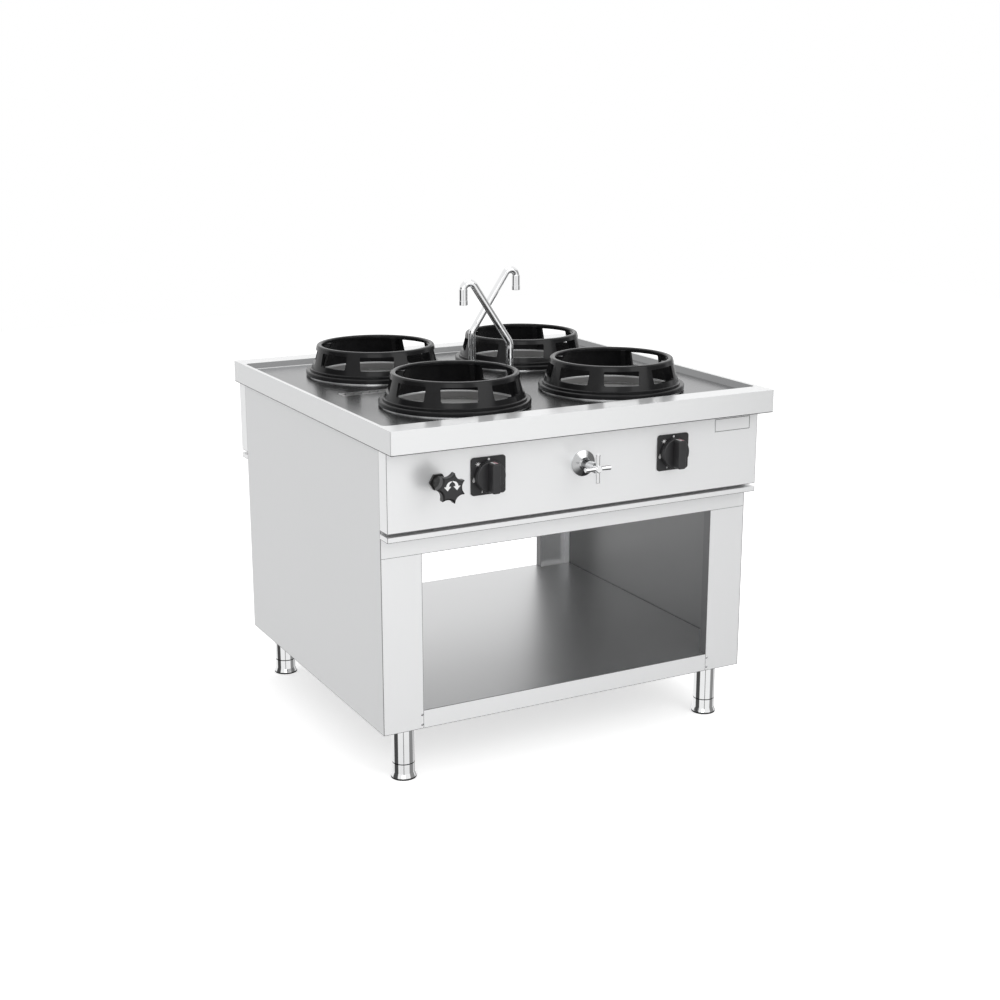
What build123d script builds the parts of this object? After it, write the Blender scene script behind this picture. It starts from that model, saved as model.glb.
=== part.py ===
from build123d import *
import math
import os

# Free-standing wok range for four woks, worked from the front and from the back.
# Millimetres. The origin is on the floor under the middle of the cabinet, +Z is up, the front
# faces -Y, and the back controls are the front ones turned half a turn about Z. The worktop
# stands further out at the front, so it and all that hangs in it sit a little towards -Y.

# Worktop
worktop_width = 1000.0
worktop_depth = 1000.0
apron_height = 54.0
worktop_sheet = 2.0
apron_corner_radius = 3.0
apron_lip = 6.0
front_rim = 58.0
side_rim = 9.0
well_depth = 15.0
well_slope_run = 10.0
well_corner_radius = 14.0

# Cabinet, from the floor up
leg_height = 129.0
bottom_rail_height = 44.0
opening_height = 372.0
top_rail_height = 47.0
ledge_height = 12.0
air_gap = 8.0
panel_height = 184.0

# Cabinet, in plan
side_overhang = 10.0
front_overhang = 88.0
back_overhang = 50.0
panel_reach = 40.0
post_width = 100.0
body_sheet = 1.5
fold = 25.0
rail_upstand = 50.0
notch_clearance = 0.5
shelf_skirt = 30.0
shelf_side_gap = 2.0

# Wok places
ring_spacing_x = 426.0
ring_spacing_y = 454.0

# Cast wok ring
ring_height = 74.0
rim_outer_radius = 149.0
rim_width = 12.0
rim_thickness = 9.0
cone_base_radius = 164.0
cone_wall = 7.0
flange_radius = 178.0
flange_thickness = 11.0
step_width = 8.0
step_thickness = 4.0
window_width = 84.0
window_height = 33.0
window_drop = 12.0
window_radius = 3.0
window_pitch = 45.0
window_count = 6
fin_count = 4
fin_thickness = 10.0
fin_reach = 14.0
fin_lift = 7.0
fin_root = 2.0
flange_round = 4.0
cone_round = 3.0
rim_outer_round = 5.0
rim_inner_round = 4.0

# Burner bowl and burner
bowl_lip_width = 17.0
bowl_lip_height = 4.0
bowl_throat_radius = 155.0
bowl_straight = 20.0
bowl_floor_radius = 111.0
bowl_depth = 66.0
bowl_sheet = 1.5
bowl_clearance = 0.5
bowl_lip_round = 1.9
burner_stem_radius = 19.0
burner_stem_floor = 2.0
burner_foot_radius = 38.0
burner_foot_thickness = 4.0
burner_neck_radius = 24.0
burner_head_radius = 56.0
burner_head_height = 34.0
burner_crown_radius = 40.0
burner_neck_height = 14.0
burner_bowl_height = 22.0
burner_centre_radius = 13.0
port_count = 16
port_width = 4.0
port_depth = 6.0
mixing_tube_radius = 13.0
mixing_tube_bore = 10.0
mixing_tube_length = 104.0
mixing_tube_drop = 25.0
bell_radius = 19.0
bell_length = 14.0

# Gas controls
control_height = 105.0
gas_knob_place = 245.0
bezel_size = 86.0
bezel_thickness = 4.0
bezel_corner_radius = 7.0
knob_radius = 36.0
knob_disc = 12.0
knob_reach = 40.0
grip_width = 20.0
grip_length = 68.0
push_travel = 3.0
knob_clearance = 0.5
spindle_radius = 4.0
running_clearance = 0.05
panel_hole_clearance = 1.0
valve_radius = 14.0
valve_length = 44.0
valve_end_wall = 5.0
knob_front_wall = 10.0
knob_round = 3.0
grip_corner_round = 4.5
grip_top_round = 3.0
bezel_bevel = 1.0

# Gas pipes
header_radius = 10.65
header_bore = 8.0
header_inset = 52.0
header_drop = 37.0
header_side_inset = 45.0
header_overrun = 17.0
pipe_bend = 30.0
stub_radius = 8.0
injector_pipe_radius = 5.0
injector_gap = 6.0
injector_straight = 9.0
injector_turn = 4.5
header_cap_length = 3.0
drop_radius = 10.0
drop_bore = 7.5
inlet_setback = 70.0
inlet_radius = 13.2
inlet_length = 26.0

# Water
tap_rose_radius = 30.0
tap_rose_height = 9.0
tap_neck_radius = 12.0
tap_neck_length = 56.0
tap_shank_radius = 10.0
tap_stem_radius = 5.0
tap_stem_depth = 30.0
tap_hub_radius = 8.5
tap_hub_length = 16.0
tap_hub_crown = 1.5
tap_arm_count = 4
tap_arm_root = 4.6
tap_arm_tip = 5.6
tap_arm_edge = 0.8
tap_arm_reach = 33.0
tap_rose_edge = 3.0
handle_gap = 1.0
star_place = 370.0
star_radius = 34.5
star_points = 7
star_scallop_radius = 19.0
star_scallop_depth = 9.0
star_point_round = 0.7
star_thickness = 17.0
star_hub_radius = 15.0
star_reach = 75.0
bonnet_radius = 15.0
bonnet_nut_radius = 20.0
bonnet_nut_height = 7.0
bonnet_length = 44.0
bonnet_crown = 4.0
star_back_edge = 2.0
star_front_edge = 4.0
hub_overlap = 1.0
water_pipe_radius = 7.5
water_pipe_bend = 18.0
cross_pipe_rise = 40.0
water_inlet_inset = 82.0
water_inlet_radius = 10.5
water_inlet_length = 20.0

# Swivel spouts
spout_place_y = 100.0
spout_radius = 9.0
spout_bore = 7.5
spout_column = 110.0
spout_rise = 187.0
spout_reach = 126.0
spout_foot_bend = 22.0
spout_top_bend = 16.0
nozzle_radius = 10.5
nozzle_length = 37.0
nozzle_drop = 87.0
seat_radius = 16.0
seat_height = 14.0
seat_depth = 12.0
seat_shank_radius = 12.0
seat_shank_length = 45.0
seat_round = 2.5
lock_nut_radius = 18.0
lock_nut_height = 8.0
nozzle_edge = 1.0

# Drain
drain_start = 96.0
drain_length = 202.0
drain_width = 34.0
strainer_thickness = 2.0
strainer_clearance = 0.3
strainer_slots = 18
strainer_slot_width = 4.0
strainer_slot_length = 20.0
strainer_slot_angle = 25.0
trough_ledge = 3.0
trough_flange = 10.0
trough_depth = 34.0
trough_sheet = 1.5
waste_radius = 20.0
waste_pipe_radius = 16.0
waste_bore = 13.0
stub_below_floor = 26.0
pipe_hole_clearance = 1.0

# Legs
leg_inset_x = 68.0
leg_inset_y = 46.0
leg_plate_size = 84.0
leg_plate_thickness = 3.0
leg_radius = 26.5
leg_wall = 2.0
foot_height = 38.0
foot_radius = 30.0
foot_pad_height = 5.0
foot_flare_height = 14.0
foot_seat_gap = 0.3
foot_flare_round = 6.0
foot_screw_radius = 12.0
foot_screw_length = 70.0
leg_nut_thickness = 12.0

# Screws
screw_head_radius = 3.2
screw_head_height = 1.4
screw_head_crown = 1.0
screw_shank_radius = 2.0
screw_shank_length = 8.0
screw_hole_clearance = 0.1
screw_inset = 4.0
screw_spacing = 24.0

# Heights worked out from the floor up
opening_bottom = leg_height + bottom_rail_height
opening_top = opening_bottom + opening_height
ledge_bottom = opening_top + top_rail_height
ledge_top = ledge_bottom + ledge_height
panel_bottom = ledge_top + air_gap
apron_bottom = panel_bottom + panel_height
working_height = apron_bottom + apron_height
well_floor = working_height - well_depth
well_underside = well_floor - worktop_sheet
rim_underside = working_height - worktop_sheet
compartment_base = opening_top + body_sheet
compartment_top = compartment_base + body_sheet
ring_seat = well_floor + bowl_lip_height
control_axis = panel_bottom + control_height
bowl_floor = ring_seat - bowl_depth
mixing_axis = bowl_floor - bowl_sheet - mixing_tube_drop
header_axis = control_axis - header_drop
cross_pipe_axis = control_axis + cross_pipe_rise

# Plan places worked out from the middle
half_cabinet = worktop_width / 2 - side_overhang
inner_cabinet = half_cabinet - body_sheet
cabinet_face = (worktop_depth - front_overhang - back_overhang) / 2
top_place_y = (back_overhang - front_overhang) / 2
inner_face = cabinet_face - body_sheet
panel_face = cabinet_face + panel_reach
panel_back = panel_face - body_sheet
half_opening = half_cabinet - post_width
leg_place_x = half_cabinet - leg_inset_x
leg_place_y = cabinet_face - leg_inset_y
ring_x = ring_spacing_x / 2
ring_y = ring_spacing_y / 2
bowl_lip_radius = bowl_throat_radius + bowl_lip_width
header_y = panel_face - header_inset
header_x = inner_cabinet - header_side_inset
inlet_place_y = header_y - inlet_setback
valve_tail = panel_back - valve_length
bezel_face = panel_face + bezel_thickness
knob_back = bezel_face + push_travel + knob_clearance
knob_front = bezel_face + knob_reach
drain_left = -(worktop_width / 2 - drain_start)
drain_right = drain_left + drain_length
waste_x = drain_left + waste_radius
panel_hole_radius = spindle_radius + panel_hole_clearance

corners = {"front_left": (-1, -1), "front_right": (1, -1), "back_left": (-1, 1), "back_right": (1, 1)}
nodes = {}


def block(x0, x1, y0, y1, z0, z1):
    """A box between two corners, given in any order."""
    size = (abs(x1 - x0), abs(y1 - y0), abs(z1 - z0))
    return Pos((x0 + x1) / 2, (y0 + y1) / 2, (z0 + z1) / 2) * Box(*size)


def turned(points, radii=None):
    """A solid turned about Z from a closed outline of (radius, height) points."""
    spots = [(r, 0, z) for r, z in points]
    line = FilletPolyline(*spots, radius=radii, close=True) if radii else Polyline(*spots, close=True)
    return revolve(make_face(line), Axis.Z)


def upright(x, y, z0, z1, radius):
    """A round bar along Z."""
    return Pos(x, y, (z0 + z1) / 2) * Cylinder(radius, z1 - z0)


def facing_front(shape, x, z):
    """Puts a shape turned about Z on the front panel's face, with its +Z out towards the user."""
    return Pos(x, -panel_face, z) * Rot(90, 0, 0) * shape


def round_bar(points, radius, bend):
    """A round bar along straight runs joined by tangent arcs."""
    path = FilletPolyline(*points, radius=bend)
    section = Plane(origin=path @ 0, z_dir=path % 0) * Circle(radius)
    return sweep(section, path=path)


def to_back(shape):
    """The same piece on the back of the range."""
    return Rot(0, 0, 180) * shape


def on_side(shape, sy):
    """A piece made for the front, or the same turned half a turn where it is for the back."""
    return shape if sy < 0 else to_back(shape)


def on_top(shape):
    """A piece drawn about the worktop's own middle, put where the worktop sits."""
    return Pos(0, top_place_y, 0) * shape


def group(shapes):
    return Compound(children=list(shapes))


# Worktop and cabinet

def well_form(grow, drop):
    """The well's shape as a solid, grown and dropped by the sheet for its underside."""
    width = worktop_width - 2 * side_rim + 2 * grow
    depth = worktop_depth - 2 * front_rim + 2 * grow
    low_width = width - 2 * well_slope_run
    low_depth = depth - 2 * well_slope_run
    top = Pos(0, 0, working_height - drop) * RectangleRounded(width, depth, well_corner_radius)
    low = Pos(0, 0, well_floor - drop) * RectangleRounded(low_width, low_depth, well_corner_radius)
    return loft([low, top], ruled=True)


def make_worktop():
    half_w = worktop_width / 2
    half_d = worktop_depth / 2
    t = worktop_sheet
    shell = block(-half_w, half_w, -half_d, half_d, apron_bottom, working_height)
    shell = fillet(shell.edges().filter_by(Axis.Z), apron_corner_radius)
    shell -= block(-half_w + t, half_w - t, -half_d + t, half_d - t, apron_bottom + t, rim_underside)
    lip = t + apron_lip
    shell -= block(-half_w + lip, half_w - lip, -half_d + lip, half_d - lip, apron_bottom, apron_bottom + t)
    slope_length = math.hypot(well_slope_run, well_depth)
    under_growth = t * (slope_length - well_slope_run) / well_depth
    shell = shell + well_form(under_growth, t) - well_form(0, 0)
    for sx, sy in corners.values():
        radius = bowl_throat_radius + bowl_sheet + bowl_clearance
        shell -= upright(sx * ring_x, sy * ring_y, well_underside - t, well_floor + t, radius)
    for side in (-1, 1):
        hole = seat_shank_radius + bowl_clearance
        shell -= upright(0, side * spout_place_y, well_underside - t, well_floor + t, hole)
    edge = strainer_clearance
    shell -= block(drain_left - edge, drain_right + edge, -drain_width / 2 - edge, drain_width / 2 + edge,
                   well_underside - t, well_floor + t)
    return on_top(shell)


def make_side_panel(side):
    """Folded sheet with an inward fold along its top and bottom."""
    outer = side * half_cabinet
    inner = side * inner_cabinet
    fold_end = side * (inner_cabinet - fold)
    sheet = block(outer, inner, -cabinet_face, cabinet_face, leg_height, well_underside)
    top = block(inner, fold_end, -inner_face, inner_face, well_underside - body_sheet, well_underside)
    bottom = block(inner, fold_end, -leg_place_y + leg_plate_size, leg_place_y - leg_plate_size,
                   leg_height, leg_height + body_sheet)
    return sheet + top + bottom


def make_front_top_rail():
    top = ledge_top + rail_upstand
    face = block(-inner_cabinet, inner_cabinet, -cabinet_face, -inner_face, opening_top, top)
    low_fold = block(-inner_cabinet, inner_cabinet, -inner_face, -inner_face + fold,
                     opening_top, opening_top + body_sheet)
    return face + low_fold


def make_front_bottom_rail():
    face = block(-half_opening, half_opening, -cabinet_face, -inner_face, leg_height, opening_bottom)
    fold_half = leg_place_x - leg_plate_size / 2 - notch_clearance
    low_fold = block(-fold_half, fold_half, -inner_face, -inner_face + fold,
                     leg_height, leg_height + body_sheet)
    return face + low_fold


def screw_places(side):
    """Heights and x of the two screws beside the bottom rail's end."""
    x = side * (half_opening + screw_inset)
    low = leg_height + (bottom_rail_height - screw_spacing) / 2
    return [(x, low), (x, low + screw_spacing)]


def make_front_post(side):
    """Corner post folded like a C, with a foot plate for the leg."""
    inner = side * half_opening
    inner_skin = side * (half_opening + body_sheet)
    outer = side * inner_cabinet
    outer_skin = side * (inner_cabinet - body_sheet)
    back = -cabinet_face + fold
    plate_low = leg_height + leg_plate_thickness
    post = block(inner, outer, -cabinet_face, -inner_face, leg_height, opening_top)
    post += block(inner, inner_skin, -inner_face, back, plate_low, opening_top)
    post += block(outer_skin, outer, -inner_face, back, plate_low, opening_top)
    plate_inner = side * (leg_place_x - leg_plate_size / 2)
    plate_back = -leg_place_y + leg_plate_size / 2
    post += block(plate_inner, outer, -inner_face, plate_back, plate_low, plate_low + body_sheet)
    for x, z in screw_places(side):
        hole = Cylinder(screw_shank_radius + screw_hole_clearance, fold)
        post -= Pos(x, -inner_face, z) * Rot(90, 0, 0) * hole
    return post


def make_bottom_shelf():
    """Tray with its skirts folded down, notched round the four posts."""
    t = body_sheet
    low = opening_bottom - shelf_skirt
    half_w = inner_cabinet - shelf_side_gap
    tray = block(-half_w, half_w, -inner_face, inner_face, low, opening_bottom)
    tray -= block(-half_w + t, half_w - t, -inner_face + t, inner_face - t, low - t, opening_bottom - t)
    notch_x = half_opening - notch_clearance
    notch_y = cabinet_face - fold - notch_clearance
    for sx, sy in corners.values():
        tray -= block(sx * notch_x, sx * (inner_cabinet + t), sy * notch_y, sy * cabinet_face,
                      low - t, opening_bottom + t)
    return tray


def make_compartment_floor():
    """Sheet over the open base, with holes for the gas, water and waste stubs."""
    sheet = block(-inner_cabinet, inner_cabinet, -inner_face, inner_face, compartment_base, compartment_top)
    for x, y, radius in floor_stubs():
        hole = radius + pipe_hole_clearance
        sheet -= upright(x, y, compartment_base - fold, compartment_top + fold, hole)
    return sheet


def floor_stubs():
    """Plan places and radii of the pipes that come through the compartment floor."""
    water_y = panel_face - water_inlet_inset - valve_length
    return [(-header_x, inlet_place_y, inlet_radius), (waste_x, top_place_y, waste_radius),
            (-star_place, -water_y, water_inlet_radius), (star_place, water_y, water_inlet_radius)]


def make_front_control_panel():
    t = body_sheet
    side_top = well_underside - t
    box = block(-half_cabinet, half_cabinet, -panel_face, -cabinet_face, panel_bottom, rim_underside)
    box -= block(-inner_cabinet, inner_cabinet, -panel_back, -cabinet_face, panel_bottom + t, rim_underside)
    box -= block(-half_cabinet, half_cabinet, -panel_back, -cabinet_face, side_top, rim_underside)
    holes = [(-gas_knob_place, panel_hole_radius), (gas_knob_place, panel_hole_radius),
             (0, tap_shank_radius + bowl_clearance), (-star_place, tap_shank_radius + bowl_clearance)]
    for x, radius in holes:
        box -= facing_front(Cylinder(radius, 4 * t), x, control_axis)
    return box


def make_front_ledge():
    t = body_sheet
    ledge = block(-half_cabinet, half_cabinet, -panel_face, -cabinet_face, ledge_bottom, ledge_top)
    ledge -= block(-inner_cabinet, inner_cabinet, -panel_back, -cabinet_face - t,
                   ledge_bottom, ledge_top - t)
    return ledge


# Wok places

def make_wok_ring():
    """Cast ring with a rounded rim, a stepped flange, six windows and four inner fins."""
    rim_inner = rim_outer_radius - rim_width
    rim_low = ring_height - rim_thickness
    step_top = flange_thickness + step_thickness
    step_radius = cone_base_radius + step_width / 2
    lean = (cone_base_radius - rim_outer_radius) / (ring_height - step_top)
    wall_inner = cone_base_radius - cone_wall
    wall_top = rim_outer_radius + lean * rim_thickness - cone_wall
    outline = [(flange_radius, 0), (flange_radius, flange_thickness), (step_radius, flange_thickness),
               (step_radius, step_top), (cone_base_radius, step_top), (rim_outer_radius, ring_height),
               (rim_inner, ring_height), (rim_inner, rim_low), (wall_top, rim_low),
               (wall_inner, step_top), (wall_inner, 0)]
    rounds = [0, flange_round, 0, 0, cone_round, rim_outer_round, rim_inner_round, 0, 0, 0, 0]
    ring = turned(outline, rounds)
    window_middle = ring_height - window_drop - window_height / 2
    first = -90 - window_pitch * (window_count - 1) / 2
    for count in range(window_count):
        angle = math.radians(first + count * window_pitch)
        out = Vector(math.cos(angle), math.sin(angle), 0)
        start = out * (rim_inner - fin_reach) + Vector(0, 0, window_middle)
        face = Plane(origin=start, x_dir=(-out.Y, out.X, 0), z_dir=out)
        cutter = face * RectangleRounded(window_width, window_height, window_radius)
        ring -= extrude(cutter, flange_radius - rim_inner + fin_reach)
    fin_top = ring_height - rim_width / 2
    corners_of_fin = [(rim_inner - fin_reach, 0, fin_top), (rim_inner + fin_root, 0, fin_top),
                      (wall_inner + fin_root, 0, fin_lift), (wall_inner - fin_reach, 0, fin_lift)]
    fin = extrude(make_face(Polyline(*corners_of_fin, close=True)), fin_thickness / 2, both=True)
    for count in range(fin_count):
        ring += Rot(0, 0, (count + 0.5) * 360 / fin_count) * fin
    return ring


def make_burner_bowl():
    """Pressed bowl hung by its rolled lip in the worktop's hole."""
    t = bowl_sheet
    hole = burner_stem_radius + bowl_clearance
    lip = bowl_lip_height
    inside = lip - bowl_depth
    outline = [(bowl_lip_radius, 0), (bowl_lip_radius, lip), (bowl_throat_radius, lip),
               (bowl_throat_radius, -bowl_straight), (bowl_floor_radius, inside), (hole, inside),
               (hole, inside - t), (bowl_floor_radius + t, inside - t),
               (bowl_throat_radius + t, -bowl_straight), (bowl_throat_radius + t, 0)]
    return turned(outline, [0, bowl_lip_round, bowl_lip_round, 0, 0, 0, 0, 0, 0, 0])


def make_burner():
    """Burner head on its foot and stem, with a mixing tube towards the controls (-Y here)."""
    foot = burner_foot_thickness
    head = burner_head_height
    axis = -bowl_sheet - mixing_tube_drop
    low = axis - mixing_tube_radius - burner_stem_floor
    outline = [(0, low), (burner_stem_radius, low), (burner_stem_radius, 0), (burner_foot_radius, 0),
               (burner_foot_radius, foot), (burner_neck_radius, foot),
               (burner_neck_radius, burner_neck_height), (burner_head_radius, burner_bowl_height),
               (burner_head_radius, head), (burner_crown_radius, head),
               (burner_crown_radius, head - port_depth), (burner_centre_radius, head - port_depth),
               (burner_centre_radius, head), (0, head)]
    burner = turned(outline)
    port = block(burner_centre_radius + port_width, burner_head_radius + port_width,
                 -port_width / 2, port_width / 2, head - port_depth / 2, head + port_depth)
    for count in range(port_count):
        burner -= Rot(0, 0, count * 360 / port_count) * port
    length = mixing_tube_length
    tube = turned([(0, 0), (mixing_tube_radius, 0), (mixing_tube_radius, length - bell_length),
                   (bell_radius, length), (0, length)])
    tube_place = Pos(0, 0, axis) * Rot(90, 0, 0)
    return burner + tube_place * tube - tube_place * upright(0, 0, 0, length, mixing_tube_bore)


# Gas

def make_front_gas_valve(side, sy):
    """Valve body with its spindle bore, and its injector pipe to the burner on that side (sy)."""
    x = side * gas_knob_place
    nozzle_y = -(ring_y + mixing_tube_length + injector_gap) - sy * top_place_y
    route = [(x, -valve_tail, control_axis), (x, -valve_tail + 2 * injector_straight, control_axis),
             (side * ring_x, nozzle_y - injector_straight, mixing_axis),
             (side * ring_x, nozzle_y, mixing_axis)]
    tail = -body_sheet - valve_length
    body = upright(0, 0, tail, -body_sheet, valve_radius)
    body -= upright(0, 0, tail + valve_end_wall, -body_sheet, spindle_radius + running_clearance)
    return facing_front(body, x, control_axis) + round_bar(route, injector_pipe_radius, injector_turn)


def make_gas_manifold():
    """Header round three sides, a stub up to each valve, and the inlet through the compartment floor."""
    end = gas_knob_place + header_overrun
    route = [(end, -header_y, header_axis), (-header_x, -header_y, header_axis),
             (-header_x, header_y, header_axis), (end, header_y, header_axis)]
    pipe = round_bar(route, header_radius, pipe_bend)
    inlet_low = compartment_base - stub_below_floor
    pipe += upright(-header_x, inlet_place_y, inlet_low, header_axis, drop_radius)
    pipe += upright(-header_x, inlet_place_y, inlet_low, inlet_low + inlet_length, inlet_radius)
    pipe -= round_bar(route, header_bore, pipe_bend)
    pipe -= upright(-header_x, inlet_place_y, inlet_low, header_axis, drop_bore)
    for side in (-1, 1):
        cap = Pos(end, side * header_y, header_axis) * Rot(0, 90, 0)
        pipe += cap * Cylinder(header_radius, header_cap_length)
    for sx, sy in corners.values():
        x = sx * gas_knob_place
        stub_top = control_axis - valve_radius
        pipe += upright(x, sy * header_y, header_axis + header_bore, stub_top, stub_radius)
    return pipe


def make_gas_bezel():
    plate = extrude(RectangleRounded(bezel_size, bezel_size, bezel_corner_radius), bezel_thickness)
    plate = chamfer(plate.edges().group_by(Axis.Z)[-1], bezel_bevel)
    return plate - Cylinder(panel_hole_radius, 4 * bezel_thickness)


def make_gas_knob():
    """Round disc with a grip bar across it, measured from the panel's face."""
    reach = knob_front - knob_back
    disc = turned([(0, 0), (knob_radius, 0), (knob_radius, knob_disc), (0, knob_disc)],
                  [0, 0, knob_round, 0])
    bar = Pos(0, 0, reach / 2) * Box(grip_width, grip_length, reach)
    bar = fillet(bar.edges().filter_by(Axis.Z), grip_corner_round)
    bar = fillet(bar.edges().group_by(Axis.Z)[-1], grip_top_round)
    knob = disc + bar - upright(0, 0, 0, reach - knob_front_wall, spindle_radius + running_clearance)
    return Pos(0, 0, knob_back - panel_face) * knob


def make_valve_spindle():
    """Shaft from the valve's bore to the knob's, measured from the panel's face."""
    inner = -body_sheet - valve_length + valve_end_wall + push_travel + knob_clearance
    outer = knob_front - panel_face - knob_front_wall - knob_clearance
    return Pos(0, 0, (inner + outer) / 2) * Cylinder(spindle_radius, outer - inner)


# Water

def make_tap_body():
    """Domed rose and neck in front of the panel, shank and cartridge body behind it."""
    rose = tap_rose_height
    tail = -body_sheet - valve_length
    bore = tap_stem_radius + running_clearance
    front = tap_neck_length
    outline = [(0, tail), (valve_radius, tail), (valve_radius, -body_sheet),
               (tap_shank_radius, -body_sheet), (tap_shank_radius, 0),
               (tap_rose_radius, 0), (tap_rose_radius, tap_rose_edge),
               (tap_neck_radius + tap_rose_edge, rose), (tap_neck_radius, rose + tap_rose_edge),
               (tap_neck_radius, front),
               (bore, front), (bore, front - tap_stem_depth), (0, front - tap_stem_depth)]
    return turned(outline)


def make_tap_handle():
    """Cross handle with its stem, measured from the panel's face."""
    low = tap_neck_length + handle_gap
    high = low + tap_hub_length
    middle = (low + high) / 2
    stem_low = tap_neck_length - tap_stem_depth + handle_gap
    crown = tap_hub_crown
    handle = turned([(0, stem_low), (tap_stem_radius, stem_low), (tap_stem_radius, low),
                     (tap_hub_radius, low), (tap_hub_radius, high - crown),
                     (tap_hub_radius - crown, high), (0, high)])
    edge = tap_arm_edge
    arm = turned([(0, 0), (tap_arm_root, 0), (tap_arm_tip, tap_arm_reach - edge),
                  (tap_arm_tip - edge, tap_arm_reach), (0, tap_arm_reach)])
    for count in range(tap_arm_count):
        handle += Pos(0, 0, middle) * Rot(0, 0, count * 360 / tap_arm_count) * Rot(0, 90, 0) * arm
    return handle


def make_water_valve():
    """Stop valve: nut and bonnet in front of the panel, body behind it."""
    tail = -body_sheet - valve_length
    bore = tap_stem_radius + running_clearance
    body = turned([(0, tail), (valve_radius, tail), (valve_radius, -body_sheet),
                   (tap_shank_radius, -body_sheet), (tap_shank_radius, 0),
                   (bonnet_radius, 0), (bonnet_radius, bonnet_length - bonnet_crown),
                   (bonnet_radius - bonnet_crown, bonnet_length), (bore, bonnet_length),
                   (bore, bonnet_length - tap_stem_depth), (0, bonnet_length - tap_stem_depth)])
    return body + extrude(RegularPolygon(bonnet_nut_radius, 6), bonnet_nut_height)


def make_star_handwheel():
    """Scalloped handwheel with its hub and stem, measured from the panel's face."""
    back = star_reach - star_thickness
    scallop_place = star_radius - star_scallop_depth + star_scallop_radius
    outline = Circle(star_radius)
    for count in range(star_points):
        scallop = Pos(scallop_place, 0) * Circle(star_scallop_radius)
        outline -= Rot(0, 0, count * 360 / star_points) * scallop
    outline = fillet(outline.vertices(), star_point_round)
    wheel = Pos(0, 0, back) * extrude(outline, star_thickness)
    crown = turned([(0, back), (star_radius - star_back_edge, back), (star_radius, back + star_back_edge),
                    (star_radius, star_reach - star_front_edge), (star_radius - star_front_edge, star_reach),
                    (0, star_reach)])
    wheel &= crown
    bevel = turned([(0, star_reach - star_front_edge), (star_scallop_radius, star_reach - star_front_edge),
                    (star_scallop_radius + star_front_edge, star_reach), (0, star_reach)])
    for count in range(star_points):
        wheel -= Rot(0, 0, count * 360 / star_points) * Pos(scallop_place, 0, 0) * bevel
    hub_low = bonnet_length + handle_gap
    stem_low = bonnet_length - tap_stem_depth + handle_gap
    wheel += upright(0, 0, hub_low, back + hub_overlap, star_hub_radius)
    return wheel + upright(0, 0, stem_low, hub_low + hub_overlap, tap_stem_radius)


def make_front_water_pipe(sy):
    """Supply stub to the stop valve, cross pipe to the tap, and the pipe on to that side's spout (sy)."""
    tail = -valve_tail
    water_y = -(panel_face - water_inlet_inset - valve_length)
    low = compartment_base - stub_below_floor
    supply = [(-star_place, water_y, low), (-star_place, water_y, control_axis),
              (-star_place, tail, control_axis)]
    middle_y = -(panel_back - valve_length / 2)
    side_z = control_axis + valve_radius
    cross = [(-star_place, middle_y, side_z), (-star_place, middle_y, cross_pipe_axis),
             (0, middle_y, cross_pipe_axis), (0, middle_y, side_z)]
    seat_low = well_underside - seat_shank_length
    seat_y = -spout_place_y - sy * top_place_y
    riser = [(0, tail, control_axis), (0, seat_y, control_axis), (0, seat_y, seat_low)]
    pipes = [round_bar(run, water_pipe_radius, water_pipe_bend) for run in (supply, cross, riser)]
    pipes[0] += upright(-star_place, water_y, low, low + water_inlet_length, water_inlet_radius)
    return pipes


def make_front_spout():
    """Swivel spout: column, leaning tube and short hooked nozzle, at rest towards -X."""
    y = -spout_place_y
    base = well_floor + seat_height - seat_depth
    elbow = well_floor + spout_column
    top = elbow + spout_rise
    nozzle_low = top - nozzle_drop
    route = [(0, y, base), (0, y, elbow), (-spout_reach, y, top), (-spout_reach, y, nozzle_low)]
    bends = [spout_foot_bend, spout_top_bend]
    tube = round_bar(route, spout_radius, bends)
    nozzle = upright(-spout_reach, y, nozzle_low, nozzle_low + nozzle_length, nozzle_radius)
    nozzle = chamfer(nozzle.edges().filter_by(GeomType.CIRCLE), nozzle_edge)
    return tube + nozzle - round_bar(route, spout_bore, bends)


def make_front_spout_base():
    """Seat on the well floor with a shank through it and a lock nut below."""
    y = -spout_place_y
    top = well_floor + seat_height
    seat = upright(0, y, well_floor, top, seat_radius)
    seat = fillet(seat.edges().group_by(Axis.Z)[-1], seat_round)
    seat += upright(0, y, well_underside - seat_shank_length, well_floor, seat_shank_radius)
    nut = extrude(RegularPolygon(lock_nut_radius, 6), lock_nut_height)
    seat += Pos(0, y, well_underside - lock_nut_height) * nut
    return seat - upright(0, y, top - seat_depth, top, spout_radius + running_clearance)


# Drain

def make_drain_trough():
    """Channel hung under the well floor, with a ledge for the strainer and a waste stub."""
    t = trough_sheet
    half = drain_width / 2
    edge = trough_flange
    high = well_underside
    low = high - trough_depth
    flange = block(drain_left - edge, drain_right + edge, -half - edge, half + edge, high - t, high)
    box = block(drain_left, drain_right, -half, half, low, high)
    waste_low = compartment_base - stub_below_floor
    trough = flange + box + upright(waste_x, 0, waste_low, low, waste_pipe_radius)
    trough += upright(waste_x, 0, waste_low, waste_low + stub_below_floor, waste_radius)
    inner = half - trough_ledge
    trough -= block(drain_left + trough_ledge, drain_right - trough_ledge, -inner, inner, low + t, high)
    return trough - upright(waste_x, 0, waste_low, low + t, waste_bore)


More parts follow.
